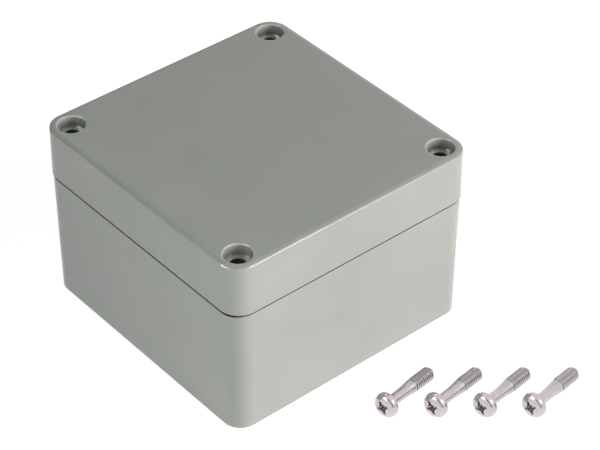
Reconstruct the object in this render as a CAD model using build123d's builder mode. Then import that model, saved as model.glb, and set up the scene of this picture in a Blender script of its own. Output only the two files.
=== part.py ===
from build123d import *
from math import atan2, cos, degrees, radians, sin
import os

os.makedirs("parts", exist_ok=True)

# Millimetres. X runs along the 80 mm side, Y along the 82 mm side, +Z up. The origin is the
# centre of the base's underside. The widest outline is the lid's lower edge.

# Outer form
width_x = 80.0  # lid at its lower edge
width_y = 82.0
height = 55.0  # underside to lid top
corner_radius = 6.0
base_height = 39.25  # underside to the base's rim
parting_gap = 0.6  # open joint between rim and lid, all round
overhang = 0.25  # how far the base's rim is set in under the lid
draft = 0.5  # degrees, moulding taper of both outer walls
lid_crown_width = 1.4  # the lid's top falls away a little toward its edge
lid_crown_drop = 0.28
lid_edge_round = 0.4
base_bottom_bevel = 1.0

# Walls
wall = 3.5  # base side wall at the rim
base_floor = 3.0
lid_top = 3.0
cavity_corner_radius = 2.0

# Lid screws and their seats
screw_inset = 6.0  # hole centre from the lid's lower edge, both ways
thread_diameter = 4.0
screw_clearance = 0.5  # on the diameter, lid hole over thread
screw_length = 18.0  # under the head
shank_diameter = 3.2  # waisted part, which keeps the screw in the lid
shank_length = 9.8
shank_runout = 0.4  # cone from shank to thread
tip_chamfer = 0.6
head_diameter = 7.0
head_height = 2.6
head_bevel = 0.9
recess_span = 3.9  # cross recess at its mouth, tip to tip
recess_slot = 1.0
recess_depth = 1.6
recess_turn = 56.0  # degrees, how the cross stands in each lying screw
head_clearance = 0.8  # on the diameter, counterbore over head
counterbore_depth = 3.1
counterbore_bevel = 0.4

# Hexagonal threaded inserts, moulded into the base's corner columns. They stand proud of the
# rim by the parting gap, so that the lid bears on brass.
insert_width = 6.0  # across flats
insert_length = 8.0
insert_bore = 3.3  # core of the thread
insert_waist_width = 5.2  # the plastic grips this narrower band
insert_waist_length = 1.6
insert_moulding_gap = 0.05  # each side

# Wall-mounting channels beside the columns, outside the seal
mount_inset_x = 15.0  # hole centre from the lid's lower edge
mount_inset_y = 6.0
mount_hole_diameter = 4.5
channel_diameter = 8.0  # lets the mounting screw's head down
channel_floor = 4.0  # plastic under that head

# Rim joint: tongue on the base, groove and seal in the lid
groove_inset = 0.9  # inner lip between cavity and groove
groove_width = 1.8
groove_depth = 3.0
tongue_clearance = 0.3  # each side, in the groove
seal_height = 1.4
channel_lip = 0.8  # plastic between groove and channel

# Inside the base
boss_inset_x = 9.25  # boss centre from the cavity's long walls
boss_inset_y = 7.5  # boss centre from the corner blocks
boss_diameter = 6.5
boss_height = 5.0
boss_pilot_diameter = 2.9
boss_pilot_depth = 6.5
guide_spacing = 26.0  # between the two board slots, along Y
guide_slot = 1.8  # takes a 1.6 mm board
guide_rib_width = 1.2
guide_rib_depth = 1.5
guide_rib_end = 8.0  # ribs stop this far below the rim

# Screws as they lie in front of the box
row_gap = 17.8  # box side to the first screw's neck
row_start_x = -3.8
row_pitch = 12.8
row_heading = -40.0  # degrees from +X, along the row
screw_heading = 10.0  # degrees from +X, head to tip

# What follows from the sizes above
rim_z = base_height
lid_z = base_height + parting_gap
lid_height = height - lid_z
base_x = width_x - 2 * overhang
base_y = width_y - 2 * overhang
cavity_x = base_x - 2 * wall
cavity_y = base_y - 2 * wall
seal_wall = groove_inset + groove_width + channel_lip
screw_spacing_x = width_x - 2 * screw_inset
screw_spacing_y = width_y - 2 * screw_inset
mount_spacing_x = width_x - 2 * mount_inset_x
mount_spacing_y = width_y - 2 * mount_inset_y
# The corner block reaches inward past the channel by the wall that carries the seal.
waist_x = mount_spacing_x - channel_diameter - 2 * seal_wall
waist_y = mount_spacing_y - channel_diameter - 2 * seal_wall
boss_spacing_x = cavity_x - 2 * boss_inset_x
boss_spacing_y = waist_y - 2 * boss_inset_y
insert_foot_z = lid_z - insert_length
tongue_width = groove_width - 2 * tongue_clearance
tongue_inset = groove_inset + tongue_clearance
tongue_top_z = lid_z + groove_depth - seal_height
counterbore_diameter = head_diameter + head_clearance
lid_hole_diameter = thread_diameter + screw_clearance
screw_places = GridLocations(screw_spacing_x, screw_spacing_y, 2, 2).locations
mount_places = GridLocations(mount_spacing_x, mount_spacing_y, 2, 2).locations
boss_places = GridLocations(boss_spacing_x, boss_spacing_y, 2, 2).locations


# The inside of both mouldings: a rectangle whose corners give way to the corner blocks
with BuildSketch() as cavity_outline:
    Rectangle(cavity_x, waist_y)
    Rectangle(waist_x, cavity_y)
    fillet(cavity_outline.vertices(), cavity_corner_radius)


def ring_outline(inset, band):
    """A closed band outside the cavity outline, which the tongue, groove and seal share."""
    with BuildSketch(mode=Mode.PRIVATE) as ring:
        add(cavity_outline.sketch)
        offset(amount=inset + band)
        with BuildSketch(mode=Mode.PRIVATE) as inner:
            add(cavity_outline.sketch)
            offset(amount=inset)
        add(inner.sketch, mode=Mode.SUBTRACT)
    return ring.sketch


# Base
with BuildPart() as base_box:
    with BuildSketch(Plane.XY.offset(rim_z)):
        RectangleRounded(base_x, base_y, corner_radius - overhang)
    extrude(amount=-base_height, taper=draft)
    chamfer(base_box.faces().sort_by(Axis.Z)[0].edges(), base_bottom_bevel)

    # Inside, down to the floor
    with BuildSketch(Plane.XY.offset(rim_z)):
        add(cavity_outline.sketch)
    extrude(amount=base_floor - base_height, mode=Mode.SUBTRACT)

    # Pockets that hold the threaded inserts
    with BuildSketch(Plane.XY.offset(rim_z)):
        with Locations(screw_places):
            RegularPolygon(insert_width / 2 + insert_moulding_gap, 6, major_radius=False)
    extrude(amount=insert_foot_z - rim_z, mode=Mode.SUBTRACT)

    # Mounting channels, open at the top, with a screw hole through the floor
    with BuildSketch(Plane.XY.offset(rim_z)):
        with Locations(mount_places):
            Circle(channel_diameter / 2)
    extrude(amount=channel_floor - rim_z, mode=Mode.SUBTRACT)
    with BuildSketch():
        with Locations(mount_places):
            Circle(mount_hole_diameter / 2)
    extrude(amount=channel_floor, mode=Mode.SUBTRACT)

    # Tongue round the rim
    with BuildSketch(Plane.XY.offset(rim_z)):
        add(ring_outline(tongue_inset, tongue_width))
    extrude(amount=tongue_top_z - rim_z)

    # Board bosses with pilot holes
    with BuildSketch(Plane.XY.offset(base_floor)):
        with Locations(boss_places):
            Circle(boss_diameter / 2)
    extrude(amount=boss_height)
    with BuildSketch(Plane.XY.offset(base_floor + boss_height)):
        with Locations(boss_places):
            Circle(boss_pilot_diameter / 2)
    extrude(amount=-boss_pilot_depth, mode=Mode.SUBTRACT)

    # Guide ribs for upright boards, in pairs on the two long inner walls
    rib_step = (guide_slot + guide_rib_width) / 2
    with BuildSketch(Plane.XY.offset(base_floor)):
        for side in (-1, 1):
            for slot in (-guide_spacing / 2, guide_spacing / 2):
                with Locations((side * (cavity_x - guide_rib_depth) / 2, slot - rib_step)):
                    Rectangle(guide_rib_depth, guide_rib_width)
                with Locations((side * (cavity_x - guide_rib_depth) / 2, slot + rib_step)):
                    Rectangle(guide_rib_depth, guide_rib_width)
    extrude(amount=rim_z - guide_rib_end - base_floor)

base_box.part.label = "base_box"
export_step(base_box.part, "parts/base_box.step")


# Lid
with BuildPart() as lid:
    with BuildSketch(Plane.XY.offset(lid_z)):
        RectangleRounded(width_x, width_y, corner_radius)
    extrude(amount=lid_height, taper=draft)
    lid_face = lid.faces().sort_by(Axis.Z)[-1]
    chamfer(lid_face.edges(), length=lid_crown_width, length2=lid_crown_drop, reference=lid_face)
    crown_foot = height - lid_crown_drop
    fillet(lid.edges().filter_by_position(Axis.Z, crown_foot - 0.01, crown_foot + 0.01), lid_edge_round)

    # Inside
    with BuildSketch(Plane.XY.offset(lid_z)):
        add(cavity_outline.sketch)
    extrude(amount=lid_height - lid_top, mode=Mode.SUBTRACT)

    # Groove for the seal and the base's tongue
    with BuildSketch(Plane.XY.offset(lid_z)):
        add(ring_outline(groove_inset, groove_width))
    extrude(amount=groove_depth, mode=Mode.SUBTRACT)

    # Counterbored screw holes
    with BuildSketch(Plane.XY.offset(height)):
        with Locations(screw_places):
            Circle(counterbore_diameter / 2)
    extrude(amount=-counterbore_depth, mode=Mode.SUBTRACT)
    with BuildSketch(Plane.XY.offset(height)):
        with Locations(screw_places):
            Circle(lid_hole_diameter / 2)
    extrude(amount=-lid_height, mode=Mode.SUBTRACT)
    top_arcs = lid.edges().filter_by_position(Axis.Z, height, height).filter_by(GeomType.CIRCLE)
    counterbore_rims = top_arcs.filter_by(lambda arc: abs(arc.radius - counterbore_diameter / 2) < 0.01)
    chamfer(counterbore_rims, counterbore_bevel)

lid.part.label = "lid"
export_step(lid.part, "parts/lid.step")


# Seal, at the bottom of the lid's groove
with BuildPart() as lid_seal:
    with BuildSketch(Plane.XY.offset(lid_z + groove_depth)):
        add(ring_outline(groove_inset, groove_width))
    extrude(amount=-seal_height)

lid_seal.part.label = "lid_seal"
export_step(lid_seal.part, "parts/lid_seal.step")


def thread_insert(place):
    """A hexagonal insert with a narrower band half way up; the lid bears on its top."""
    foot = Plane(origin=(place.position.X, place.position.Y, insert_foot_z))
    band_length = (insert_length - insert_waist_length) / 2
    with BuildPart() as insert:
        for band_foot in (0, insert_length - band_length):
            with BuildSketch(foot.offset(band_foot)):
                RegularPolygon(insert_width / 2, 6, major_radius=False)
            extrude(amount=band_length)
        with BuildSketch(foot.offset(band_length)):
            RegularPolygon(insert_waist_width / 2, 6, major_radius=False)
        extrude(amount=insert_waist_length)
        with BuildSketch(foot):
            Circle(insert_bore / 2)
        extrude(amount=insert_length, mode=Mode.SUBTRACT)
    return insert.part


for number, place in enumerate(screw_places, 1):
    insert = thread_insert(place)
    insert.label = f"thread_insert_{number}"
    export_step(insert, f"parts/{insert.label}.step")


def lid_screw(neck):
    """A waisted screw on a plane under its head, whose normal points to the tip."""
    head_r = head_diameter / 2
    thread_r = thread_diameter / 2
    shank_r = shank_diameter / 2
    # The section lies in the plane that holds the screw's axis: along it, then outward.
    section = Plane(origin=neck.origin, x_dir=neck.z_dir, z_dir=neck.x_dir)
    with BuildPart() as screw:
        with BuildSketch(section):
            with BuildLine():
                Polyline(
                    (-head_height, 0),
                    (-head_height, head_r - head_bevel),
                    (head_bevel - head_height, head_r),
                    (0, head_r),
                    (0, shank_r),
                    (shank_length, shank_r),
                    (shank_length + shank_runout, thread_r),
                    (screw_length - tip_chamfer, thread_r),
                    (screw_length, thread_r - tip_chamfer),
                    (screw_length, 0),
                    close=True,
                )
            make_face()
        revolve(axis=Axis(neck.origin, neck.z_dir))
        # Cross recess
        with BuildSketch(neck.offset(-head_height)):
            Rectangle(recess_span, recess_slot, rotation=recess_turn)
            Rectangle(recess_slot, recess_span, rotation=recess_turn)
        extrude(amount=recess_depth, mode=Mode.SUBTRACT)
    return screw.part


# Each screw rests on the head's edge and on the thread's end, so its axis dips to the tip.
dip = degrees(atan2((head_diameter - thread_diameter) / 2, screw_length - tip_chamfer))
neck_z = head_diameter / 2 * cos(radians(dip))
for number in range(1, 5):
    along = (number - 1) * row_pitch
    neck = Plane(
        origin=(
            row_start_x + along * cos(radians(row_heading)),
            -width_y / 2 - row_gap + along * sin(radians(row_heading)),
            neck_z,
        ),
        x_dir=(-sin(radians(screw_heading)), cos(radians(screw_heading)), 0),
        z_dir=(
            cos(radians(screw_heading)) * cos(radians(dip)),
            sin(radians(screw_heading)) * cos(radians(dip)),
            -sin(radians(dip)),
        ),
    )
    screw = lid_screw(neck)
    screw.label = f"lid_screw_{number}"
    export_step(screw, f"parts/{screw.label}.step")
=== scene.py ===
# %% [markdown]
# # A screwed ABS enclosure
# The box is two grey mouldings, a base and a deep lid, with a foam seal between them and four
# waisted steel screws that here lie on the table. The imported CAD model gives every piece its
# size and place, and this notebook adds the finish, the fine threads and the studio.
# Everything is in metres, so one millimetre is written as 1 * MM.

# %% The frame and its size before anything is added
from math import atan2, ceil, cos, pi, radians, sin, tau

import bmesh
import bpy
from mathutils import Matrix, Vector


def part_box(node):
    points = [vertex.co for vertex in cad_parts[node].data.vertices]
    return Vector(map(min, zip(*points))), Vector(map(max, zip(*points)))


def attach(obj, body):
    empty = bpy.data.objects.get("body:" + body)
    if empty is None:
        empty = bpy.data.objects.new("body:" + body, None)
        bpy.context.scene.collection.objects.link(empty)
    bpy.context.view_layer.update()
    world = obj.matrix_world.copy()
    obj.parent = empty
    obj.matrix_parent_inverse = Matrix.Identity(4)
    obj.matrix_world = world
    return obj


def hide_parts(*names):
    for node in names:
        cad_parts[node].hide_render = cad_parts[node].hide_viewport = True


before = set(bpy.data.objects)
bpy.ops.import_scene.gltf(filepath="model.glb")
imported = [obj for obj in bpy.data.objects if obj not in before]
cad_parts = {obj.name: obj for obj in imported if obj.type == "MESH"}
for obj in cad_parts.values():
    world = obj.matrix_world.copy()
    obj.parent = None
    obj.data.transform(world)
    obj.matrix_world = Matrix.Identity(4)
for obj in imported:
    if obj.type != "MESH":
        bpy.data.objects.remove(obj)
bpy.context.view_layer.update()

MM = 0.001
lid_low, lid_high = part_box("lid")
base_low, base_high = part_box("base_box")
heights = (base_low.z, base_high.z, lid_low.z, lid_high.z)
print("CAD nodes:", sorted(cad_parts))
print("base and lid, from and to, mm:", [round(height / MM, 2) for height in heights])

# %% [markdown]
# ## Camera
# A product photograph like this is taken with a long lens from about 0.6 m, so the box's edges
# stay almost parallel. The camera looks at the middle of the box from the front left and
# above. Its place is written as angles and a distance, because those are what a photographer
# changes, and the small side shift and roll are those of a hand-set tripod.

# %% Camera
VIEW_AZIMUTH = radians(-40.302)
VIEW_ELEVATION = radians(38.753)
VIEW_DISTANCE = 605.26 * MM
AIM_RIGHT = 11.925 * MM
AIM_UP = -1.941 * MM
ROLL = radians(0.235)
FOCAL_PIXELS = 2239.77
IMAGE_WIDTH, IMAGE_HEIGHT = 600, 450
SENSOR = 36.0

view_back = Vector((
    sin(VIEW_AZIMUTH) * cos(VIEW_ELEVATION),
    -cos(VIEW_AZIMUTH) * cos(VIEW_ELEVATION),
    sin(VIEW_ELEVATION),
))
level_right = Vector((cos(VIEW_AZIMUTH), sin(VIEW_AZIMUTH), 0))
level_up = view_back.cross(level_right)
view_right = level_right * cos(ROLL) + level_up * sin(ROLL)
view_up = level_up * cos(ROLL) - level_right * sin(ROLL)
box_middle = Vector((0, 0, lid_high.z / 2))
view_from = box_middle + view_back * VIEW_DISTANCE + level_right * AIM_RIGHT + level_up * AIM_UP

camera_data = bpy.data.cameras.new("camera")
camera_data.sensor_width = SENSOR
camera_data.lens = SENSOR * FOCAL_PIXELS / IMAGE_WIDTH
camera = bpy.data.objects.new("camera", camera_data)
bpy.context.scene.collection.objects.link(camera)
turn = Matrix((view_right, view_up, view_back)).transposed().to_4x4()
camera.matrix_world = Matrix.Translation(view_from) @ turn
bpy.context.scene.camera = camera
bpy.context.scene.view_settings.view_transform = "Standard"

# %% Where the screw holes fall in the picture
HOLE_X, HOLE_Y = 34 * MM, 35 * MM


def picture_place(point):
    """Where a point of the row frame falls in the picture, in pixels from its top left."""
    ray = Vector(point) - view_from
    depth = -ray.dot(view_back)
    across = IMAGE_WIDTH / 2 + FOCAL_PIXELS * ray.dot(view_right) / depth
    down = IMAGE_HEIGHT / 2 - FOCAL_PIXELS * ray.dot(view_up) / depth
    return round(across, 1), round(down, 1)


for x in (-HOLE_X, HOLE_X):
    for y in (-HOLE_Y, HOLE_Y):
        print("screw hole at", picture_place((x, y, lid_high.z)))

# %% [markdown]
# ## Node helpers
# Every finish below is a small node tree, and a few helpers keep it short. They add a node
# with its values, join two sockets, make a noise, map a range, blend two colours, do a sum and
# put a height on the surface as bump. Object coordinates are used all through because the
# pieces have no UV maps and sit in real metres, so a noise scale of 1000 means grains of about
# a millimetre.

# %% Nodes and their joins


def add_node(tree, kind, **values):
    """A node of that kind; each value goes to the input of that name, or else to a property."""
    node = tree.nodes.new(kind)
    for name, value in values.items():
        label = name.replace("_", " ").title()
        if label in node.inputs:
            node.inputs[label].default_value = value
        else:
            setattr(node, name, value)
    return node


def join(tree, source, target):
    tree.links.new(source, target)


def start_material(name):
    """A new material; returns it, its tree, its surface shader and the object coordinates."""
    material = bpy.data.materials.new(name)
    material.use_nodes = True
    tree = material.node_tree
    place = add_node(tree, "ShaderNodeTexCoord").outputs["Object"]
    return material, tree, tree.nodes["Principled BSDF"], place


# %% Grains, ranges and sums


def noise(tree, place, scale, detail=3.0, roughness=0.5):
    """A grain of that many cells a metre."""
    grain = add_node(tree, "ShaderNodeTexNoise", scale=scale, detail=detail, roughness=roughness)
    join(tree, place, grain.inputs["Vector"])
    return grain.outputs["Fac"]


def spread(tree, source, low, high, from_low=0.0, from_high=1.0):
    """Maps a value from its own range to low and high, and holds it there beyond the range."""
    span = add_node(tree, "ShaderNodeMapRange")
    limits = {"From Min": from_low, "From Max": from_high, "To Min": low, "To Max": high}
    for name, value in limits.items():
        span.inputs[name].default_value = value
    join(tree, source, span.inputs["Value"])
    return span.outputs["Result"]


def calculate(tree, operation, first, second=None):
    """One sum on sockets or numbers."""
    node = add_node(tree, "ShaderNodeMath", operation=operation)
    for socket, value in zip(node.inputs, (first, second)):
        if isinstance(value, bpy.types.NodeSocket):
            join(tree, value, socket)
        elif value is not None:
            socket.default_value = value
    return node.outputs[0]


# %% Colours and bump


def blend_colours(tree, amount, first, second):
    """first where the amount is 0, second where it is 1; each is a colour or a socket."""
    mix = add_node(tree, "ShaderNodeMix", data_type="RGBA")
    join(tree, amount, mix.inputs["Factor"])
    for socket, colour in ((mix.inputs[6], first), (mix.inputs[7], second)):
        if isinstance(colour, bpy.types.NodeSocket):
            join(tree, colour, socket)
        else:
            socket.default_value = (*colour, 1)
    return mix.outputs[2]


def bump(tree, surface, height, strength, distance, below=None):
    """Puts a height on the surface as bump, over the normal below when there is one."""
    node = add_node(tree, "ShaderNodeBump", strength=strength, distance=distance)
    join(tree, height, node.inputs["Height"])
    if below is not None:
        join(tree, below, node.inputs["Normal"])
    join(tree, node.outputs["Normal"], surface.inputs["Normal"])


# %% [markdown]
# ## Table and backdrop
# The picture has a pure white ground with hardly any shadow. More light would wash out the
# grey plastic, so the table's own shader does it instead: rays from the camera, and those that
# mirror off metal, see a table that glows a little on top of its lit colour, while the light
# that bounces back onto the box comes from an ordinary pale surface. The table lies a hair
# under the box, so that the two flat faces don't fight.

# %% The table's shader
TABLE_GLOW = 0.92
TABLE_SEEN = (0.32, 0.32, 0.32)
TABLE_BOUNCE = (0.80, 0.80, 0.80)


def seen_directly(tree):
    """1 for camera, mirror and see-through rays, 0 for bounced light."""
    rays = add_node(tree, "ShaderNodeLightPath")
    either = calculate(tree, "MAXIMUM", rays.outputs["Is Camera Ray"], rays.outputs["Is Glossy Ray"])
    return calculate(tree, "MAXIMUM", either, rays.outputs["Is Transmission Ray"])


def table_finish():
    material, tree, surface, place = start_material("pale_table")
    tree.nodes.remove(surface)
    bounce = add_node(tree, "ShaderNodeBsdfDiffuse", color=(*TABLE_BOUNCE, 1))
    shade = add_node(tree, "ShaderNodeBsdfDiffuse", color=(*TABLE_SEEN, 1))
    glow = add_node(tree, "ShaderNodeEmission", strength=TABLE_GLOW)
    seen = add_node(tree, "ShaderNodeAddShader")
    join(tree, shade.outputs[0], seen.inputs[0])
    join(tree, glow.outputs[0], seen.inputs[1])
    choice = add_node(tree, "ShaderNodeMixShader")
    join(tree, seen_directly(tree), choice.inputs[0])
    join(tree, bounce.outputs[0], choice.inputs[1])
    join(tree, seen.outputs[0], choice.inputs[2])
    join(tree, choice.outputs[0], tree.nodes["Material Output"].inputs["Surface"])
    return material


# %% The table
TABLE_REACH = 3.0
TABLE_DROP = 0.02 * MM


def new_piece(name, build):
    """A mesh object whose mesh is filled by build(bmesh)."""
    shape = bmesh.new()
    build(shape)
    mesh = bpy.data.meshes.new(name)
    shape.to_mesh(mesh)
    shape.free()
    piece = bpy.data.objects.new(name, mesh)
    bpy.context.scene.collection.objects.link(piece)
    return piece


def table_top(shape):
    bmesh.ops.create_grid(shape, x_segments=2, y_segments=2, size=TABLE_REACH)


table = new_piece("table", table_top)
table.location.z = -TABLE_DROP
table.data.materials.append(table_finish())
print("table:", 2 * TABLE_REACH, "m square")

# %% [markdown]
# ## Soft light
# The right wall is the brightest face, and the left wall and the lid's top are darker and
# nearly alike. One large softbox to the right, low enough to favour the wall over the top,
# makes that. A weaker one in front fills in the left wall, and a faint, slightly green one
# behind cools the shaded plastic. All three light the matt side of a surface and are kept
# out of mirror rays, so that they leave no large pale patches on the plastic.

# %% Soft light
LAMPS = {
    "key_right": dict(
        azimuth=-53, elevation=24, distance=0.9, size=(0.42, 0.5), power=8.1, tint=(1, 0.995, 0.98),
    ),
    "fill_front": dict(
        azimuth=-142, elevation=20, distance=0.4, size=(0.25, 0.25), power=0.65, tint=(0.985, 1, 0.985),
    ),
    "fill_back": dict(
        azimuth=160, elevation=60, distance=0.9, size=(0.25, 0.25), power=0.38, tint=(0.6, 1, 0.85),
    ),
}
LAMPS_AIM = Vector((0, 0, 25 * MM))


def direction(azimuth, elevation):
    """A unit vector toward that azimuth (0 is +X) and elevation, both in degrees."""
    azimuth, elevation = radians(azimuth), radians(elevation)
    return Vector((cos(elevation) * cos(azimuth), cos(elevation) * sin(azimuth), sin(elevation)))


def facing(thing, aim, azimuth, elevation, distance):
    """Puts a thing where the aim point sees it, turned toward that point."""
    way = direction(azimuth, elevation)
    thing.location = aim + way * distance
    thing.rotation_euler = way.to_track_quat("Z", "Y").to_euler()


def softbox(name, azimuth, elevation, distance, size, power, tint, mirrored):
    """A rectangular lamp that lights either matt surfaces or, when mirrored, glossy ones."""
    lamp = bpy.data.lights.new(name, "AREA")
    lamp.shape = "RECTANGLE"
    lamp.size, lamp.size_y = size
    lamp.energy = power
    lamp.color = tint
    box = bpy.data.objects.new(name, lamp)
    bpy.context.scene.collection.objects.link(box)
    box.visible_glossy = mirrored
    box.visible_diffuse = not mirrored
    facing(box, LAMPS_AIM, azimuth, elevation, distance)


for name, lamp in LAMPS.items():
    softbox(name, mirrored=False, **lamp)
print("softboxes, W:", {name: lamp["power"] for name, lamp in LAMPS.items()})

# %% [markdown]
# ## Strips for the crisp lines
# Two strips that only mirror rays see give the crisp lines. One draws the bright line along
# the lid's right edge, and the other the glint at the front corner. They are small and strong,
# because an edge that is rounded by half a millimetre shows only a sliver of each.

# %% Strips for the crisp lines
STRIPS = {
    "line_right": dict(
        azimuth=-61, elevation=42, distance=0.9, size=(0.28, 0.26), power=11.0, tint=(1, 1, 0.985),
    ),
    "glint_left": dict(
        azimuth=158, elevation=44, distance=0.9, size=(0.5, 0.2), power=29.0, tint=(1, 1, 1),
    ),
}

for name, lamp in STRIPS.items():
    softbox(name, mirrored=True, **lamp)
print("strips, W:", {name: lamp["power"] for name, lamp in STRIPS.items()})

# %% [markdown]
# ## Black and white sheets for the reflections
# Metal in a white room looks flat, so a photographer stands black cards round it. One behind
# the box draws the dark line on the lid's left edge. A ribbon bent over the camera draws the
# dark stripe on each screw head, and follows the directions in which the heads mirror it. A
# white diffuser stands between the screws and the strip on the right, so that the steel gets
# a soft highlight and no burnt one. Only mirror rays see the three sheets, and they cast no
# shadow.

# %% Black card behind the box
BLACK = (0.01, 0.01, 0.01, 1)


def only_mirrored(thing):
    """Hides a thing from everything but mirror rays, so it neither lights nor shades the object."""
    thing.visible_camera = False
    thing.visible_diffuse = False
    thing.visible_shadow = False


def black_card(name, azimuths, distance, low, high, steps=16):
    """An upright sheet bent round the object."""

    def bent_sheet(shape):
        rows = []
        for step in range(steps + 1):
            angle = radians(azimuths[0] + (azimuths[1] - azimuths[0]) * step / steps)
            x, y = distance * cos(angle), distance * sin(angle)
            rows.append((shape.verts.new((x, y, low)), shape.verts.new((x, y, high))))
        for here, there in zip(rows, rows[1:]):
            shape.faces.new((here[0], there[0], there[1], here[1]))

    card = new_piece(name, bent_sheet)
    material, tree, surface, place = start_material(name)
    surface.inputs["Base Color"].default_value = BLACK
    surface.inputs["Roughness"].default_value = 0.9
    surface.inputs["Specular IOR Level"].default_value = 0.0
    card.data.materials.append(material)
    only_mirrored(card)
    return material


black_paper = black_card("card_behind", azimuths=(100, 148), distance=0.55, low=0.005, high=0.70)

# %% Black ribbon over the camera
SCREWS_AT = Vector((12, -76, 2)) * MM
RIBBON_PATH = [
    (-110, 1), (-113, 14), (-120, 28), (-132, 42), (-150, 52), (-172, 57), (165, 58), (145, 56),
]


def dark_ribbon(name, path, half_width, distance):
    """A band along the directions in which the screws mirror it; half_width is in degrees."""

    def band_sheet(shape):
        ways = [direction(*spot) for spot in path]
        rows = []
        for k, way in enumerate(ways):
            along = ways[min(k + 1, len(ways) - 1)] - ways[max(k - 1, 0)]
            across = way.cross(along).normalized() * sin(radians(half_width))
            spots = [SCREWS_AT + (way + side * across) * distance for side in (-1, 1)]
            rows.append([shape.verts.new(spot) for spot in spots])
        for here, there in zip(rows, rows[1:]):
            shape.faces.new((here[0], there[0], there[1], here[1]))

    ribbon = new_piece(name, band_sheet)
    ribbon.data.materials.append(black_paper)
    only_mirrored(ribbon)


dark_ribbon("ribbon_camera", RIBBON_PATH, half_width=6, distance=0.45)

# %% White diffuser for the screws


def diffuser(name, azimuth, elevation, distance, size, strength):
    """A glowing sheet that faces the screws."""
    corners = ((-1, -1), (1, -1), (1, 1), (-1, 1))
    sheet = new_piece(name, lambda shape: shape.faces.new([
        shape.verts.new((x * size[0] / 2, y * size[1] / 2, 0)) for x, y in corners
    ]))
    facing(sheet, SCREWS_AT, azimuth, elevation, distance)
    material, tree, surface, place = start_material(name)
    surface.inputs["Base Color"].default_value = (0, 0, 0, 1)
    surface.inputs["Emission Color"].default_value = (1, 1, 1, 1)
    surface.inputs["Emission Strength"].default_value = strength
    sheet.data.materials.append(material)
    only_mirrored(sheet)


diffuser("diffuser_screws", azimuth=-75, elevation=44, distance=0.15, size=(0.17, 0.10), strength=1.35)

# %% [markdown]
# ## World
# The air round the object gives a faint, even fill that keeps the back of the box from going
# black. Rays from the camera and mirror rays see it as plain white instead, so it joins the
# table without a seam.

# %% World
WORLD_FILL = 0.06

world = bpy.data.worlds.new("studio")
bpy.context.scene.world = world
world.use_nodes = True
air = world.node_tree
ambient = air.nodes["Background"]
ambient.inputs["Strength"].default_value = WORLD_FILL
white = add_node(air, "ShaderNodeBackground", strength=1.0)
for shade in (ambient, white):
    shade.inputs["Color"].default_value = (1, 1, 1, 1)
world_choice = add_node(air, "ShaderNodeMixShader")
join(air, seen_directly(air), world_choice.inputs[0])
join(air, ambient.outputs[0], world_choice.inputs[1])
join(air, white.outputs[0], world_choice.inputs[2])
join(air, world_choice.outputs[0], air.nodes["World Output"].inputs["Surface"])
print("world fill:", WORLD_FILL)

# %% [markdown]
# ## Masks on the plastic
# The painted highlight on the hole lips and the painted shade in gaps, the joint and the holes
# don't lie everywhere, so their masks come first. Some are made from the place on the object,
# such as the distance from the nearest screw hole, and some from how open the surface is within
# a small reach. Painting them by hand would need UV maps, which these solids don't have. None
# depends on where the camera stands, so the finish stays put when the box is seen from another
# side.

# %% Masks on the plastic


def openness(tree, reach):
    """How open the surface is within that reach: 1 on a flat face, towards 0 deep in a gap."""
    return add_node(tree, "ShaderNodeAmbientOcclusion", samples=8, distance=reach).outputs["AO"]


def band(tree, value, low, high, soft):
    """1 where the value is between low and high, fading to 0 over the soft width outside."""
    rising = spread(tree, value, 0, 1, low - soft, low)
    return calculate(tree, "MULTIPLY", rising, spread(tree, value, 1, 0, high, high + soft))


def length_of(tree, x, y):
    """The length of the flat vector x, y."""
    squares = [calculate(tree, "MULTIPLY", side, side) for side in (x, y)]
    return calculate(tree, "SQRT", calculate(tree, "ADD", *squares))


def from_nearest_hole(tree, x, y):
    """Each point's distance from the axis of the nearest screw hole."""
    sides = ((x, HOLE_X), (y, HOLE_Y))
    away = [calculate(tree, "SUBTRACT", calculate(tree, "ABSOLUTE", side), inset) for side, inset in sides]
    return length_of(tree, *away)


# %% [markdown]
# ## Painted highlight and painted shade
# The lips of the screw holes are painted paler, a painted highlight where light catches them.
# Painted shade darkens narrow gaps, the joint between the halves and the depth of the holes.
# The painted shade in the joint is darkest along its left side and weaker round the corners.

# %% Painted highlight on the lips
TOP_LIP = (3.8 * MM, 4.15 * MM)
TOP_LIP_HEIGHT = (54.6 * MM, 54.8 * MM)
SEAT_LIP = (2.25 * MM, 2.55 * MM)
SEAT_LIP_HEIGHT = (51.5 * MM, 52.2 * MM)


def painted_lip_highlight(tree, radius, height):
    """1 on the upper lip of a hole and on the lip of its bore, where a highlight is painted."""
    near_top = spread(tree, height, 0, 1, *TOP_LIP_HEIGHT)
    top = calculate(tree, "MULTIPLY", band(tree, radius, *TOP_LIP, 0.1 * MM), near_top)
    near_seat = band(tree, height, *SEAT_LIP_HEIGHT, 0.1 * MM)
    seat = calculate(tree, "MULTIPLY", band(tree, radius, *SEAT_LIP, 0.05 * MM), near_seat)
    return calculate(tree, "MAXIMUM", top, seat)


# %% Painted shade in gaps and the joint
GAP_SHADE_REACH = 0.8 * MM
HOLE_REACH = 8 * MM
JOINT_BAND = (38.6 * MM, 40.4 * MM)
SEAM_BAND = (39.02 * MM, 39.96 * MM)
LEFT_SIDE = (-39.2 * MM, -36.5 * MM)
CORNER_RADIUS = (6.0 * MM, 6.6 * MM)


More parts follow.
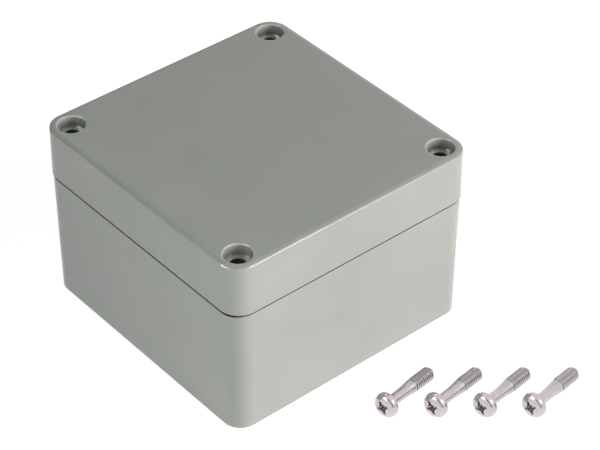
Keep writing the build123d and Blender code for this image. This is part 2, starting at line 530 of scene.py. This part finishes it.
def painted_gap_shade(tree, radius, across, height):
    """Painted shade at each point: in any gap, in the joint, and most in the joint's left side."""
    near = openness(tree, GAP_SHADE_REACH)
    in_gaps = spread(tree, near, 0.6, 0, 0.2, 0.6)
    off_corner = spread(tree, radius, 0.25, 1, *CORNER_RADIUS)
    all_round = calculate(tree, "MULTIPLY", off_corner, spread(tree, near, 1, 0, 0.40, 0.86))
    left = spread(tree, across, 1, 0, *LEFT_SIDE)
    on_left = calculate(tree, "MULTIPLY", left, spread(tree, near, 1, 0, 0.75, 1.0))
    joint = band(tree, height, *JOINT_BAND, 0.1 * MM)
    in_joint = calculate(tree, "MULTIPLY", joint, calculate(tree, "MAXIMUM", all_round, on_left))
    seam = calculate(tree, "MULTIPLY", left, band(tree, height, *SEAM_BAND, 0.05 * MM))
    return calculate(tree, "MAXIMUM", calculate(tree, "MAXIMUM", in_gaps, in_joint), seam)


def painted_hole_shade(tree, lip):
    """1 deep in a hole, where shade is painted, and less on the painted highlight of the lips."""
    deep = spread(tree, openness(tree, HOLE_REACH), 1, 0, 0.08, 0.50)
    return calculate(tree, "MULTIPLY", deep, spread(tree, lip, 1, 0.35))


# %% [markdown]
# ## Moulded ABS
# Both halves are the same light grey plastic, satin where the steel mould was finely eroded.
# It could be one flat grey, but real mouldings show a grain you can just see in the
# highlights, slow changes of gloss and the odd dark speck of burnt resin. Each of those is one
# noise at its real size, and none is strong. A painted highlight on the hole lips and painted
# shade in gaps, the joint and the holes lie over them. A bevel node rounds the shading of the
# edges, widely along the lid's top and hardly at all at the holes.

# %% Colour of the plastic
ABS_GREY = (0.395, 0.405, 0.375)
ABS_GREY_DEEP = (0.375, 0.388, 0.358)
# Paler colour of the hole lips: a painted highlight.
ABS_LIP_HIGHLIGHT = (0.52, 0.54, 0.50)
SPECK = (0.12, 0.12, 0.11)
# Near black: painted shade in gaps and the joint.
GAP_SHADE = (0.02, 0.021, 0.02)
# Near black: painted shade deep in the holes.
HOLE_SHADE = (0.01, 0.01, 0.01)
CLOUD_GRAIN = 38
SPECK_SPACING = 42
SPECK_SIZE = 0.014


def abs_colour(tree, place, radius, across, height):
    """Grey with clouds and specks, a painted highlight on lips and painted shade in gaps and holes."""
    cloud = noise(tree, place, CLOUD_GRAIN, detail=2)
    grey = blend_colours(tree, spread(tree, cloud, 0, 1, 0.35, 0.65), ABS_GREY, ABS_GREY_DEEP)
    specks = add_node(tree, "ShaderNodeTexVoronoi", scale=SPECK_SPACING)
    join(tree, place, specks.inputs["Vector"])
    speck = calculate(tree, "LESS_THAN", specks.outputs["Distance"], SPECK_SIZE)
    # Painted highlight on the hole lips.
    lip = painted_lip_highlight(tree, radius, height)
    lip_lit = blend_colours(tree, lip, blend_colours(tree, speck, grey, SPECK), ABS_LIP_HIGHLIGHT)
    # Painted shade in gaps and the joint.
    gap_shaded = blend_colours(tree, painted_gap_shade(tree, radius, across, height), lip_lit, GAP_SHADE)
    # Painted shade deep in the holes.
    return blend_colours(tree, painted_hole_shade(tree, lip), gap_shaded, HOLE_SHADE)


# %% Moulded ABS
ABS_ROUGHNESS = (0.17, 0.23)
ABS_IOR = 1.50
GLOSS_GRAIN = 210
SPARK_GRAIN = 4200
RIM_EDGE, LID_EDGE = 0.1 * MM, 0.6 * MM


def rounded_edges(tree, radius, height):
    """Normals as if the edges were rounded, by LID_EDGE along the lid's top edge."""
    clear_of_holes = spread(tree, radius, 0, 1, 4.35 * MM, 4.4 * MM)
    at_top = spread(tree, height, 0, 1, 53.6 * MM, 53.7 * MM)
    at_lid_edge = calculate(tree, "MULTIPLY", clear_of_holes, at_top)
    edges = add_node(tree, "ShaderNodeBevel", samples=6)
    join(tree, spread(tree, at_lid_edge, RIM_EDGE, LID_EDGE), edges.inputs["Radius"])
    return edges.outputs["Normal"]


def abs_finish():
    material, tree, surface, place = start_material("moulded_abs")
    parts = add_node(tree, "ShaderNodeSeparateXYZ")
    join(tree, place, parts.inputs[0])
    across, along, height = (parts.outputs[axis] for axis in "XYZ")
    radius = from_nearest_hole(tree, across, along)
    join(tree, abs_colour(tree, place, radius, across, height), surface.inputs["Base Color"])
    gloss = noise(tree, place, GLOSS_GRAIN, detail=4, roughness=0.6)
    join(tree, spread(tree, gloss, *ABS_ROUGHNESS, 0.3, 0.7), surface.inputs["Roughness"])
    spark = noise(tree, place, SPARK_GRAIN, detail=2)
    edges = rounded_edges(tree, radius, height)
    bump(tree, surface, spark, strength=0.10, distance=0.02 * MM, below=edges)
    surface.inputs["IOR"].default_value = ABS_IOR
    return material


moulded_abs = abs_finish()
for node in ("base_box", "lid"):
    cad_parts[node].data.materials.clear()
    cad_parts[node].data.materials.append(moulded_abs)
print("plastic nodes in the finish:", len(moulded_abs.node_tree.nodes))

# %% [markdown]
# ## Lathe and thread
# Screws and inserts are turned parts, so both come from the same two tools. The lathe spins a
# profile, a list of (along, radius) points, round the z axis. The thread is a ridge with the
# 60 degree section of a metric thread, swept along a helix, which sinks into the core at both
# ends as a rolled thread does. A displaced cylinder would need far more points for the same
# crisp crests.

# %% Lathe
TURN_STEPS = 72


def ring(shape, along, radius, steps=TURN_STEPS):
    return [
        shape.verts.new((radius * cos(tau * step / steps), radius * sin(tau * step / steps), along))
        for step in range(steps)
    ]


def close_with_fan(shape, loop, along, flip):
    """Closes a ring with a centre point."""
    centre = shape.verts.new((0, 0, along))
    for step, vert in enumerate(loop):
        corners = (centre, vert, loop[(step + 1) % len(loop)])
        shape.faces.new(corners[::-1] if flip else corners)


def bridge(shape, here, there):
    """Closes the strip between two loops of as many points."""
    for step in range(len(here)):
        after = (step + 1) % len(here)
        shape.faces.new((here[step], here[after], there[after], there[step]))


def lathe(shape, profile, steps=TURN_STEPS):
    """Spins (along, radius) points round z. A closed piece starts and ends with radius 0."""
    rings = [ring(shape, along, radius, steps) for along, radius in profile if radius > 0]
    for low, high in zip(rings, rings[1:]):
        bridge(shape, low, high)
    if profile[0][1] == 0:
        close_with_fan(shape, rings[0], profile[0][0], flip=True)
    if profile[-1][1] == 0:
        close_with_fan(shape, rings[-1], profile[-1][0], flip=False)


# %% Thread
RIDGE_SECTION = ((-0.46, 0), (-0.09, 1), (0.09, 1), (0.46, 0))
RIDGE_SINK = 0.12
RIDGE_END_WIDTH = 0.4


def thread_ridge(shape, start, end, pitch, root, crest, steps=48, run_out=0.75, start_angle=0.0):
    """A helical ridge from root to crest radius; crest under root makes an inner thread."""
    turns = (end - start) / pitch
    count = int(ceil(turns * steps))
    sink = (crest - root) * RIDGE_SINK
    rows = []
    for index in range(count + 1):
        turn = index / steps
        rise = max(0.0, min(1.0, turn / run_out, (turns - turn) / run_out))
        width = RIDGE_END_WIDTH + (1 - RIDGE_END_WIDTH) * rise
        angle = start_angle + tau * turn
        row = []
        for across, out in RIDGE_SECTION:
            radius = root - sink + (crest - root + sink) * out * rise
            along = start + pitch * (turn + across * width)
            row.append(shape.verts.new((radius * cos(angle), radius * sin(angle), along)))
        rows.append(row)
    for low, high in zip(rows, rows[1:]):
        for k in range(len(RIDGE_SECTION) - 1):
            shape.faces.new((low[k], high[k], high[k + 1], low[k + 1]))
    for row in (rows[0], rows[-1]):
        shape.faces.new(row)


# %% From millimetres to a finished mesh


def smooth(mesh, sharp_degrees=35):
    """Smooth shading with sharp edges where the surface turns by more than that angle."""
    for face in mesh.polygons:
        face.use_smooth = True
    shape = bmesh.new()
    shape.from_mesh(mesh)
    bmesh.ops.recalc_face_normals(shape, faces=shape.faces)
    for edge in shape.edges:
        if len(edge.link_faces) == 2 and edge.calc_face_angle(0) > radians(sharp_degrees):
            edge.smooth = False
    shape.to_mesh(mesh)
    shape.free()


def finished_mesh(name, shape, sharp_degrees=35, centre=(0, 0, 0)):
    """A smooth mesh in metres from a shape in millimetres, moved to that centre."""
    bmesh.ops.scale(shape, vec=(MM, MM, MM), verts=shape.verts)
    bmesh.ops.translate(shape, vec=centre, verts=shape.verts)
    mesh = bpy.data.meshes.new(name)
    shape.to_mesh(mesh)
    shape.free()
    smooth(mesh, sharp_degrees)
    return mesh


# %% [markdown]
# ## Lips of the screw holes
# Light catches the softly rounded lip of each hole in the lid, and once more where the seat
# for the head turns down into the bore. The CAD model has the holes with a small bevel, which
# is hidden on the side nearest the camera. One turned liner per hole, sunk into the solid
# round it, gives both lips their true roundness.

# %% Section of a liner
LIP_ROUND = 0.22
SEAT_DEPTH = 3.1
SEAT_RISE = 0.03
BORE_LIP = 2.3
LINER_TOP, LINER_FOOT = 3.82, 3.74
LINER_RIM, LINER_OUTSIDE = 4.31, 4.6
LINER_DEPTH = SEAT_DEPTH + 1.5


def rounded_lip(centre_radius, centre_down, radius, steps=6):
    """A rounded lip from its bore side up to its flat side, as (radius, depth under the top)."""
    angles = [step / steps * pi / 2 for step in range(steps + 1)]
    return [(centre_radius - radius * cos(angle), centre_down - radius * sin(angle)) for angle in angles]


def liner_section():
    """The liner's whole section, from the bore over the seat to the rim and back down outside."""
    seat = SEAT_DEPTH - SEAT_RISE
    return [
        (BORE_LIP - 0.02, LINER_DEPTH),
        *rounded_lip(BORE_LIP + LIP_ROUND, seat + LIP_ROUND, LIP_ROUND),
        (LINER_FOOT - 0.02, seat),
        (LINER_FOOT, SEAT_DEPTH - 0.25),
        *rounded_lip(LINER_TOP + LIP_ROUND, LIP_ROUND, LIP_ROUND),
        (LINER_RIM, 0),
        (LINER_OUTSIDE, 0.6),
        (LINER_OUTSIDE, LINER_DEPTH),
    ]


# %% Four liners


def liner_mesh(name, centre_x, centre_y, top):
    shape = bmesh.new()
    loops = [ring(shape, top / MM - down, radius) for radius, down in liner_section()]
    for here, there in zip(loops, loops[1:] + loops[:1]):
        bridge(shape, here, there)
    return finished_mesh(name, shape, sharp_degrees=50, centre=(centre_x, centre_y, 0))


for number, (side_x, side_y) in enumerate(((-1, -1), (-1, 1), (1, -1), (1, 1)), 1):
    name = f"hole_liner_{number}"
    piece = bpy.data.objects.new(name, liner_mesh(name, side_x * HOLE_X, side_y * HOLE_Y, lid_high.z))
    bpy.context.scene.collection.objects.link(piece)
    piece.data.materials.append(moulded_abs)
    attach(piece, "cover")
print("liner mesh:", len(piece.data.vertices), "points")

# %% [markdown]
# ## Lid screws
# These are waisted screws: the shank behind the short thread is thinner than the thread's
# crests, so a loosened screw stays in the lid. Each is made in millimetres along its
# own z axis, with the neck under the head at 0. One profile gives the domed head, the neck and
# the shank, which flares a little into the thread. All four share one mesh, which is already
# turned to how a screw lies, so they differ only by their place.

# %% Profile of a lid screw
SCREW_LENGTH = 18.0
SHANK_RADIUS = 1.6
SHANK_END = 9.8
SHANK_FLARE = [(4.8, 0), (3.8, 0.03), (2.8, 0.09), (1.6, 0.19), (0.6, 0.30), (0, 0.35)]
NECK_FILLET = [(0, 0.35), (0.06, 0.16), (0.2, 0.04), (0.4, 0)]
CORE_RADIUS = 1.58
CREST_RADIUS = 2.0
PITCH = 0.7
HEAD_RADIUS = 3.5
HEAD_HEIGHT = 2.6
HEAD_SIDE = 0.8
HEAD_FLAT = 1.3
HEAD_EDGE = [(-0.3, 0), (-0.15, 0.04), (-0.05, 0.13), (0, 0.28)]
DOME_STEPS = 14


def head_profile():
    """From the face's middle round to the neck: flat face, elliptical dome, short side."""
    points = [(-HEAD_HEIGHT, 0), (-HEAD_HEIGHT, HEAD_FLAT)]
    for step in range(1, DOME_STEPS + 1):
        angle = step / DOME_STEPS * pi / 2
        points.append((
            -HEAD_SIDE - (HEAD_HEIGHT - HEAD_SIDE) * cos(angle),
            HEAD_FLAT + (HEAD_RADIUS - HEAD_FLAT) * sin(angle),
        ))
    points += [(along, HEAD_RADIUS - inward) for along, inward in HEAD_EDGE]
    points += [(along, SHANK_RADIUS + out) for along, out in NECK_FILLET]
    return points


def shank_profile():
    """From the neck to the tip: waisted shank, flare, thread core and a bevelled end."""
    flare = [(SHANK_END - along, SHANK_RADIUS + out) for along, out in SHANK_FLARE]
    core = [(SHANK_END + 0.3, CORE_RADIUS), (SCREW_LENGTH - 0.35, CORE_RADIUS)]
    return [*flare, *core, (SCREW_LENGTH, CORE_RADIUS - 0.3), (SCREW_LENGTH, 0)]


# %% [markdown]
# ## Cross recess
# A punch with two tapered wings and a cone in the middle presses the cross into the head. The
# recess is made the same way: the punch's three closed solids are taken out of the blank by a
# boolean. A texture could only darken the cross and would look flat from the side.

# %% Punch of the cross recess
RECESS_SPAN = 3.9
RECESS_TURN = radians(56)
RECESS_DEPTH = 1.7
PUNCH_ABOVE = 0.4


def wing(shape, span, width, bottom_span, bottom_width, depth, turn):
    """A tapered bar across the recess, from above the face down to the depth."""
    corners = []
    for level, long, wide in ((-PUNCH_ABOVE, span, width), (depth, bottom_span, bottom_width)):
        for x, y in ((-1, -1), (1, -1), (1, 1), (-1, 1)):
            px, py = x * long / 2, y * wide / 2
            corners.append(shape.verts.new((
                px * cos(turn) - py * sin(turn), px * sin(turn) + py * cos(turn), -HEAD_HEIGHT + level,
            )))
    for quad in ((3, 2, 1, 0), (4, 5, 6, 7), (0, 1, 5, 4), (1, 2, 6, 5), (2, 3, 7, 6), (3, 0, 4, 7)):
        shape.faces.new([corners[k] for k in quad])


def recess_tools():
    """The punch's two wings and its centre, each a closed solid."""
    tools = []
    for turn in (RECESS_TURN, RECESS_TURN + pi / 2):
        tool = bmesh.new()
        wing(tool, RECESS_SPAN + 0.3, 0.84, RECESS_SPAN - 1.9, 0.56, RECESS_DEPTH, turn)
        tools.append(tool)
    centre = bmesh.new()
    cone = [(-PUNCH_ABOVE, 0), (-PUNCH_ABOVE, 1.24), (1.5, 0.72), (1.95, 0)]
    lathe(centre, [(-HEAD_HEIGHT + level, radius) for level, radius in cone], 24)
    tools.append(centre)
    return tools


# %% Taking the punch out of the head


def as_object(shape, name):
    bmesh.ops.recalc_face_normals(shape, faces=shape.faces)
    mesh = bpy.data.meshes.new(name)
    shape.to_mesh(mesh)
    shape.free()
    thing = bpy.data.objects.new(name, mesh)
    bpy.context.scene.collection.objects.link(thing)
    return thing


def cut(target, tools):
    """The target's mesh with every tool taken out of it."""
    for number, tool in enumerate(tools):
        taking = target.modifiers.new(f"cut_{number}", "BOOLEAN")
        taking.operation = "DIFFERENCE"
        taking.solver = "EXACT"
        taking.object = tool
    bpy.context.view_layer.update()
    graph = bpy.context.evaluated_depsgraph_get()
    result = bpy.data.meshes.new_from_object(target.evaluated_get(graph))
    for thing in [target, *tools]:
        bpy.data.objects.remove(thing)
    return result


# %% [markdown]
# ## How the screws lie
# A screw on a table rests on the edge of its head and on the crests at its tip, so its axis
# dips towards the tip by a few degrees. The four lie parallel in a slanting row. Turning the
# mesh once and only moving its copies keeps them exactly alike.

# %% Shared screw mesh
HEAD_TILT = radians(10)
HEAD_DIP = atan2(HEAD_RADIUS - CREST_RADIUS, SCREW_LENGTH - 0.6)


def lie_of_screws():
    """The turn from an upright screw to one that lies on its head's edge and its thread's end."""
    to_tip = Vector((cos(HEAD_TILT) * cos(HEAD_DIP), sin(HEAD_TILT) * cos(HEAD_DIP), -sin(HEAD_DIP)))
    level = Vector((-sin(HEAD_TILT), cos(HEAD_TILT), 0))
    return Matrix((level, to_tip.cross(level), to_tip)).transposed()


def screw_mesh():
    body = bmesh.new()
    lathe(body, head_profile() + shank_profile())
    blank = as_object(body, "screw_blank")
    punches = [as_object(tool, f"punch_{number}") for number, tool in enumerate(recess_tools())]
    solid = cut(blank, punches)
    whole = bmesh.new()
    whole.from_mesh(solid)
    bpy.data.meshes.remove(solid)
    first, last = SHANK_END + 0.35, SCREW_LENGTH - 0.25
    thread_ridge(whole, first, last, PITCH, CORE_RADIUS, CREST_RADIUS, start_angle=pi)
    mesh = finished_mesh("lid_screw", whole)
    mesh.transform(SCREW_LIE.to_4x4())
    return mesh


SCREW_LIE = lie_of_screws()
shared_screw = screw_mesh()
print("screw mesh:", len(shared_screw.vertices), "points")

# %% [markdown]
# ## Turned steel
# Plain stainless steel isn't one even grey. The lathe leaves fine rings round the axis, the
# surface stains a little in patches, and painted shade darkens the shank towards the thread.
# Painted shade darkens the thread's grooves, the corner under the head and the cross, and the
# cross is rougher too, where the punch scraped it. The masks turn the object coordinates back
# upright, and then only the distance from the axis and the place along it matter.

# %% Masks on a screw
SHADE_REACH = 1.3 * MM
NECK_ZONE = (0.1 * MM, 0.8 * MM)
THREAD_ZONE = ((SHANK_END - 1) * MM, SHANK_END * MM)
THREADWARD_SHADE_ZONE = ((SHANK_END - 6) * MM, SHANK_END * MM)
GROOVE_ZONE = ((SHANK_END + 0.4) * MM, (SHANK_END + 0.8) * MM)
GROOVE_RADIUS = (1.62 * MM, 1.92 * MM)
RECESS_ZONE = (0.16 * MM - HEAD_HEIGHT * MM, -0.2 * MM)
RECESS_RADIUS = (1.9 * MM, 2.1 * MM)


def in_thread_grooves(tree, from_axis, along):
    near_core = spread(tree, from_axis, 1, 0, *GROOVE_RADIUS)
    return calculate(tree, "MULTIPLY", near_core, spread(tree, along, 0, 1, *GROOVE_ZONE))


def in_tight_corners(tree, along):
    """1 where little light comes in, and much less on the thread, which has its own mask."""
    tight = spread(tree, openness(tree, SHADE_REACH), 1, 0, 0.1, 0.6)
    on_thread = spread(tree, along, 0, 1, *THREAD_ZONE)
    return calculate(tree, "MULTIPLY", tight, spread(tree, on_thread, 1, 0.3))


def in_recess(tree, from_axis, along):
    below_face = band(tree, along, *RECESS_ZONE, 0.08 * MM)
    return calculate(tree, "MULTIPLY", below_face, spread(tree, from_axis, 1, 0, *RECESS_RADIUS))


# %% Colours of the steel
STEEL = (0.60, 0.545, 0.575)
STEEL_STAINED = (0.52, 0.475, 0.495)
# Painted shade towards the thread.
STEEL_THREADWARD_SHADE = (0.50, 0.46, 0.48)
# Painted shade in the thread's grooves.
STEEL_GROOVE_SHADE = (0.27, 0.25, 0.258)
STEEL_IN_SHADE = (0.22, 0.205, 0.21)
# Painted shade in the cross recess.
STEEL_RECESS_SHADE = (0.26, 0.24, 0.245)
STAIN_GRAIN = 420


def steel_tone(tree, place, along):
    """Stained steel, with painted shade that darkens it towards the thread."""
    stain = spread(tree, noise(tree, place, STAIN_GRAIN, detail=3), 0, 1, 0.35, 0.7)
    tone = blend_colours(tree, stain, STEEL, STEEL_STAINED)
    return blend_colours(tree, spread(tree, along, 0, 1, *THREADWARD_SHADE_ZONE), tone, STEEL_THREADWARD_SHADE)


# %% Turned steel
STEEL_SATIN = (0.12, 0.16)
RECESS_SATIN = 0.32
LATHE_GRAIN = 9000
LATHE_STRETCH = (0.12, 0.12, 1.0)


def steel_finish():
    material, tree, surface, row_place = start_material("screw_steel_turned")
    upright = add_node(tree, "ShaderNodeMapping")
    upright.inputs["Rotation"].default_value = SCREW_LIE.inverted().to_euler()
    join(tree, row_place, upright.inputs["Vector"])
    place = upright.outputs["Vector"]
    rings = add_node(tree, "ShaderNodeMapping")
    rings.inputs["Scale"].default_value = LATHE_STRETCH
    join(tree, place, rings.inputs["Vector"])
    lines = noise(tree, rings.outputs["Vector"], LATHE_GRAIN, detail=3)
    parts = add_node(tree, "ShaderNodeSeparateXYZ")
    join(tree, place, parts.inputs[0])
    along = parts.outputs["Z"]
    from_axis = length_of(tree, parts.outputs["X"], parts.outputs["Y"])

    tone = steel_tone(tree, place, along)
    # Painted shade in the thread's grooves.
    groove_shaded = blend_colours(tree, in_thread_grooves(tree, from_axis, along), tone, STEEL_GROOVE_SHADE)
    shaded = blend_colours(tree, in_tight_corners(tree, along), groove_shaded, STEEL_IN_SHADE)
    # Painted shade in the cross recess.
    punched = in_recess(tree, from_axis, along)
    colour = blend_colours(tree, punched, shaded, STEEL_RECESS_SHADE)
    join(tree, colour, surface.inputs["Base Color"])
    surface.inputs["Metallic"].default_value = 1.0

    behind_head = spread(tree, along, 0, 1, *NECK_ZONE)
    polished = spread(tree, behind_head, *STEEL_SATIN)
    satin = calculate(tree, "ADD", polished, spread(tree, punched, 0, RECESS_SATIN))
    uneven = spread(tree, lines, -0.03, 0.03, 0.3, 0.7)
    join(tree, calculate(tree, "ADD", satin, uneven), surface.inputs["Roughness"])
    bump(tree, surface, lines, strength=0.08, distance=0.01 * MM)
    return material


shared_screw.materials.append(steel_finish())

# %% Four lid screws
ROW_START = (-3.8, -58.8)
ROW_PITCH = 12.8
ROW_HEADING = radians(-40)


def spot_of_screw(number):
    """Where that screw's neck is, its axis as high as the head's edge holds it."""
    step = (number - 1) * ROW_PITCH
    x, y = ROW_START[0] + step * cos(ROW_HEADING), ROW_START[1] + step * sin(ROW_HEADING)
    return Vector((x, y, HEAD_RADIUS * cos(HEAD_DIP))) * MM


def in_mm(low, high):
    return [round(value / MM, 2) for value in (*low, *high)]


for number in range(1, 5):
    node = f"lid_screw_{number}"
    piece = bpy.data.objects.new(f"waisted_screw_{number}", shared_screw)
    bpy.context.scene.collection.objects.link(piece)
    piece.location = spot_of_screw(number)
    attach(piece, "base")
    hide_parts(node)
    bpy.context.view_layer.update()
    corners = [piece.matrix_world @ vert.co for vert in shared_screw.vertices]
    mesh_box = [[side(corner[k] for corner in corners) for k in range(3)] for side in (min, max)]

# %% [markdown]
# ## Threaded inserts
# A brass nut blank is pressed into each corner column of the base, and its waist is what the
# plastic grips. Only the top face and the first threads show, with the lid off. The blank is
# three stacked hexagons with broken edges, bored through, and the inner thread is the same
# ridge as the screw's with its crest towards the axis.

# %% Insert mesh
INSERT_WIDTH = 6.0
INSERT_WAIST = 5.2
INSERT_WAIST_LENGTH = 1.6
INSERT_BORE = 2.0
INSERT_CREST = 1.66
EDGE_BREAK = 0.18
HEX_STEPS = 48


def hex_ring(shape, along, width):
    """A hexagon of that width across its flats, two of which face along y."""
    loop = []
    for step in range(HEX_STEPS):
        angle = tau * step / HEX_STEPS
        toward_flat = (angle - pi / 6) % (pi / 3) - pi / 6
        radius = width / 2 / cos(toward_flat)
        loop.append(shape.verts.new((radius * cos(angle), radius * sin(angle), along)))
    return loop


def insert_mesh(height):
    """An insert whose foot is at 0."""
    shape = bmesh.new()
    bore_top = INSERT_BORE + 0.25
    broken = INSERT_WIDTH - 2 * EDGE_BREAK
    grip = (height - INSERT_WAIST_LENGTH) / 2
    outside = [
        (0, broken), (EDGE_BREAK, INSERT_WIDTH), (grip, INSERT_WIDTH), (grip, INSERT_WAIST),
        (height - grip, INSERT_WAIST), (height - grip, INSERT_WIDTH),
        (height - EDGE_BREAK, INSERT_WIDTH), (height, broken),
    ]
    inside = [(height, bore_top), (height - 0.3, INSERT_BORE), (0.3, INSERT_BORE), (0, bore_top)]
    loops = [hex_ring(shape, along, width) for along, width in outside]
    loops += [ring(shape, along, radius, HEX_STEPS) for along, radius in inside]
    for low, high in zip(loops, loops[1:] + loops[:1]):
        bridge(shape, low, high)
    thread_ridge(shape, 0.25, height - 0.25, PITCH, INSERT_BORE, INSERT_CREST, steps=36)
    return finished_mesh("thread_insert", shape, sharp_degrees=25)


# %% Tarnished brass
BRASS = (0.78, 0.60, 0.30)
BRASS_TARNISHED = (0.52, 0.37, 0.18)
BRASS_ROUGHNESS = (0.24, 0.46)
TARNISH_GRAIN = 700
CUTTER_GRAIN = 6000


def brass_finish():
    material, tree, surface, place = start_material("insert_brass_cut")
    tarnish = noise(tree, place, TARNISH_GRAIN, detail=4, roughness=0.6)
    tone = blend_colours(tree, spread(tree, tarnish, 0, 1, 0.4, 0.75), BRASS, BRASS_TARNISHED)
    join(tree, tone, surface.inputs["Base Color"])
    surface.inputs["Metallic"].default_value = 1.0
    join(tree, spread(tree, tarnish, *BRASS_ROUGHNESS, 0.3, 0.75), surface.inputs["Roughness"])
    marks = noise(tree, place, CUTTER_GRAIN, detail=2)
    bump(tree, surface, marks, strength=0.12, distance=0.01 * MM)
    return material


# %% Four inserts
insert_low, insert_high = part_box("thread_insert_1")
shared_insert = insert_mesh((insert_high.z - insert_low.z) / MM)
shared_insert.materials.append(brass_finish())
for number in range(1, 5):
    node = f"thread_insert_{number}"
    low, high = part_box(node)
    piece = bpy.data.objects.new(f"brass_insert_{number}", shared_insert)
    bpy.context.scene.collection.objects.link(piece)
    piece.location = ((low.x + high.x) / 2, (low.y + high.y) / 2, low.z)
    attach(piece, "base")
    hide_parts(node)
print("insert mesh:", len(shared_insert.vertices), "points")

# %% [markdown]
# ## Seal
# The seal is a cord of closed-cell foam rubber laid in the lid's groove, which steps inward
# round each screw column. Its outline is a rectangle with its corners cut out, so that is how
# it is drawn: twelve corners, each an arc that the offset makes wider or tighter. The cord's
# section is a rounded rectangle, a little hollow underneath where the base's tongue presses.

# %% Outline of the seal
CAVITY_X, CAVITY_Y = 72.5, 74.5
WAIST_X, WAIST_Y = 35.0, 55.0
CAVITY_CORNER = 2.0
GROOVE_WALL, SEAL_HALF = 0.9, 0.9
GROOVE_MIDDLE = GROOVE_WALL + SEAL_HALF
ARC_STEPS = 8


def stepped_outline(away):
    """The cavity's outline moved outward by that much: points, all the way round."""
    half_x, half_y, waist_x, waist_y = CAVITY_X / 2, CAVITY_Y / 2, WAIST_X / 2, WAIST_Y / 2
    corner_run = [(half_x, waist_y, 1), (waist_x, waist_y, -1), (waist_x, half_y, 1)]
    points = []
    for turns, (sign_x, sign_y) in enumerate(((1, 1), (-1, 1), (-1, -1), (1, -1))):
        corners = corner_run if turns % 2 == 0 else corner_run[::-1]
        for x, y, bulge in corners:
            radius = CAVITY_CORNER + away * bulge
            centre_x = x - CAVITY_CORNER * bulge
            centre_y = y - CAVITY_CORNER * bulge
            span = [step / ARC_STEPS * pi / 2 for step in range(ARC_STEPS + 1)]
            if (bulge < 0) != (turns % 2 == 1):
                span.reverse()
            for angle in span:
                points.append((
                    sign_x * (centre_x + radius * bulge * cos(angle)),
                    sign_y * (centre_y + radius * bulge * sin(angle)),
                ))
    return points


# %% Seal mesh
SEAL_FOOT = [
    (-0.9, 0.25), (-0.82, 0.06), (-0.62, 0.0), (-0.3, 0.05), (0.0, 0.08), (0.3, 0.05), (0.62, 0.0),
    (0.82, 0.06), (0.9, 0.25),
]
SEAL_BACK = [(0.9, 0.2), (0.8, 0.03), (0.6, 0), (-0.6, 0), (-0.8, 0.03), (-0.9, 0.2)]


def seal_mesh(low, high):
    """A cord between those heights; its back is measured down from the top."""
    shape = bmesh.new()
    height = (high - low) / MM
    section = SEAL_FOOT + [(across, height - down) for across, down in SEAL_BACK]
    loops = []
    for across, up in section:
        outline = stepped_outline(GROOVE_MIDDLE + across)
        loops.append([shape.verts.new((x, y, low / MM + up)) for x, y in outline])
    for here, there in zip(loops, loops[1:] + loops[:1]):
        bridge(shape, here, there)
    return finished_mesh("foam_seal", shape, sharp_degrees=60)


# %% Foam rubber
FOAM = (0.030, 0.030, 0.031)
FOAM_WORN = (0.055, 0.054, 0.052)
FOAM_CELLS = 5200
FOAM_WEAR_GRAIN = 300


def foam_finish():
    material, tree, surface, place = start_material("seal_foam")
    cells = add_node(tree, "ShaderNodeTexVoronoi", scale=FOAM_CELLS)
    join(tree, place, cells.inputs["Vector"])
    pores = spread(tree, cells.outputs["Distance"], 0, 1, 0.0, 0.6)
    wear = noise(tree, place, FOAM_WEAR_GRAIN, detail=3)
    dark = blend_colours(tree, spread(tree, wear, 0, 1, 0.35, 0.7), FOAM, FOAM_WORN)
    join(tree, dark, surface.inputs["Base Color"])
    join(tree, spread(tree, pores, 0.7, 0.9), surface.inputs["Roughness"])
    bump(tree, surface, pores, strength=0.5, distance=0.05 * MM)
    surface.inputs["Specular IOR Level"].default_value = 0.3
    return material


# %% The seal in its groove
seal_low, seal_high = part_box("lid_seal")
seal = bpy.data.objects.new("foam_seal", seal_mesh(seal_low.z, seal_high.z))
bpy.context.scene.collection.objects.link(seal)
seal.data.materials.append(foam_finish())
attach(seal, "cover")
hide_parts("lid_seal")
bpy.context.view_layer.update()
points = [vert.co for vert in seal.data.vertices]
mesh_box = [[side(point[k] for point in points) for k in range(3)] for side in (min, max)]
print("seal CAD box", in_mm(seal_low, seal_high), "mesh box", in_mm(*mesh_box))
